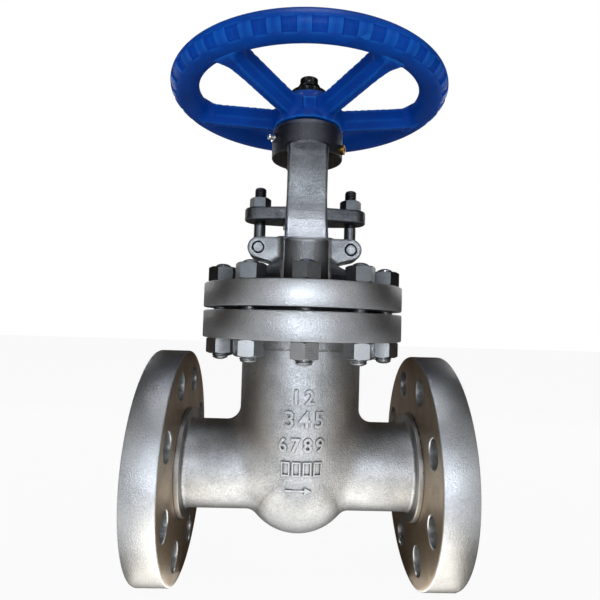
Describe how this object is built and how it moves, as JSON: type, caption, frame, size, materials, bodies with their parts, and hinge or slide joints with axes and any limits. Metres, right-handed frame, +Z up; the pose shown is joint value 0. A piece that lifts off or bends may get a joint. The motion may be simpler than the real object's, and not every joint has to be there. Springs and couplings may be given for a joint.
{
  "type": "gate valve",
  "caption": "Flanged wedge gate valve with bolted bonnet, outside screw and yoke, rising stem, eye-bolted gland and a blue spoked handwheel.",
  "frame": {"origin": "where the pipe axis crosses the stem axis", "axes": "+X along the pipe from inlet to outlet, -Y to the front of the valve, +Z up the stem to the handwheel"},
  "size_m": [0.29, 0.28, 0.507],
  "materials": {
    "cast_steel": "bead-blasted cast stainless steel, pale grey, faintly pitted",
    "cast_bonnet": "blasted cast stainless steel, mid to dark grey",
    "hard_facing": "ground and lapped hard-faced seats, satin",
    "turned_steel": "turned and polished bright steel",
    "dark_steel": "dark phosphated steel, dull",
    "bolting_steel": "zinc-plated bolting steel, semi-bright",
    "graphite": "braided graphite, dull black",
    "bronze": "turned bronze, satin",
    "blue_enamel": "glossy blue enamel over cast iron",
    "black_steel": "blacked steel, oily sheen",
    "brass": "turned brass"
  },
  "bodies": {
    "valve": {"valve_body": "cast_steel", "seat_ring_inlet": "hard_facing", "seat_ring_outlet": "hard_facing", "bonnet_gasket": "graphite", "bonnet_yoke": "cast_bonnet", "backseat_bush": "hard_facing", "packing_ring_1": "graphite", "packing_ring_2": "graphite", "packing_ring_3": "graphite", "packing_ring_4": "graphite", "eye_bolt_left": "bolting_steel", "eye_bolt_right": "bolting_steel", "eye_bolt_pin_left": "turned_steel", "eye_bolt_pin_right": "turned_steel", "bearing_housing_race": "turned_steel", "thrust_washer": "bronze", "yoke_cap": "dark_steel", "grease_nipple": "turned_steel", "boss_set_screw": "brass", "bonnet_stud_01": "bolting_steel", "bonnet_nut_top_01": "bolting_steel", "bonnet_nut_bottom_01": "bolting_steel", "bonnet_stud_02": "bolting_steel", "bonnet_nut_top_02": "bolting_steel", "bonnet_nut_bottom_02": "bolting_steel", "bonnet_stud_03": "bolting_steel", "bonnet_nut_top_03": "bolting_steel", "bonnet_nut_bottom_03": "bolting_steel", "bonnet_stud_04": "bolting_steel", "bonnet_nut_top_04": "bolting_steel", "bonnet_nut_bottom_04": "bolting_steel", "bonnet_stud_05": "bolting_steel", "bonnet_nut_top_05": "bolting_steel", "bonnet_nut_bottom_05": "bolting_steel", "bonnet_stud_06": "bolting_steel", "bonnet_nut_top_06": "bolting_steel", "bonnet_nut_bottom_06": "bolting_steel", "bonnet_stud_07": "bolting_steel", "bonnet_nut_top_07": "bolting_steel", "bonnet_nut_bottom_07": "bolting_steel", "bonnet_stud_08": "bolting_steel", "bonnet_nut_top_08": "bolting_steel", "bonnet_nut_bottom_08": "bolting_steel", "bonnet_stud_09": "bolting_steel", "bonnet_nut_top_09": "bolting_steel", "bonnet_nut_bottom_09": "bolting_steel", "bonnet_stud_10": "bolting_steel", "bonnet_nut_top_10": "bolting_steel", "bonnet_nut_bottom_10": "bolting_steel"},
    "handwheel": {"handwheel": "blue_enamel", "yoke_sleeve": "bronze", "handwheel_nut": "black_steel", "bearing_shaft_race": "turned_steel"},
    "bearing_cage": {"bearing_ball_cage": "turned_steel"},
    "gate": {"stem": "turned_steel", "wedge": "hard_facing"},
    "gland": {"gland_flange": "dark_steel", "gland_follower": "turned_steel"},
    "gland_nut_left": {"gland_nut_left": "bolting_steel"},
    "gland_nut_right": {"gland_nut_right": "bolting_steel"}
  },
  "joints": [
    {"name": "handwheel_turn", "type": "hinge", "parent": "valve", "child": "handwheel", "pos_m": [0, 0, 0.357], "axis": [0, 0, 1], "range_deg": [0, 5040]},
    {"name": "stem_lift", "type": "slide", "parent": "valve", "child": "gate", "axis": [0, 0, 1], "range_m": [0, 0.0701]},
    {"name": "cage_turn", "type": "hinge", "parent": "valve", "child": "bearing_cage", "pos_m": [0, 0, 0.32], "axis": [0, 0, 1], "range_deg": [0, 2520.5]},
    {"name": "gland_slide", "type": "slide", "parent": "valve", "child": "gland", "axis": [0, 0, 1], "range_m": [0, 0.008]},
    {"name": "gland_nut_left_turn", "type": "hinge", "parent": "gland", "child": "gland_nut_left", "pos_m": [-0.0465, 0, 0.2625], "axis": [0, 0, 1], "range_deg": [0, 1646]},
    {"name": "gland_nut_right_turn", "type": "hinge", "parent": "gland", "child": "gland_nut_right", "pos_m": [0.0465, 0, 0.2625], "axis": [0, 0, 1], "range_deg": [0, 1646]}
  ],
  "couplings": [
    {"joint": "stem_lift", "follows": "handwheel_turn", "m_per_rad": 0.00079577},
    {"joint": "cage_turn", "follows": "handwheel_turn", "ratio": 0.5},
    {"joint": "gland_nut_left_turn", "follows": "gland_slide", "rad_per_m": 3590.4},
    {"joint": "gland_nut_right_turn", "follows": "gland_slide", "rad_per_m": 3590.4}
  ]
}
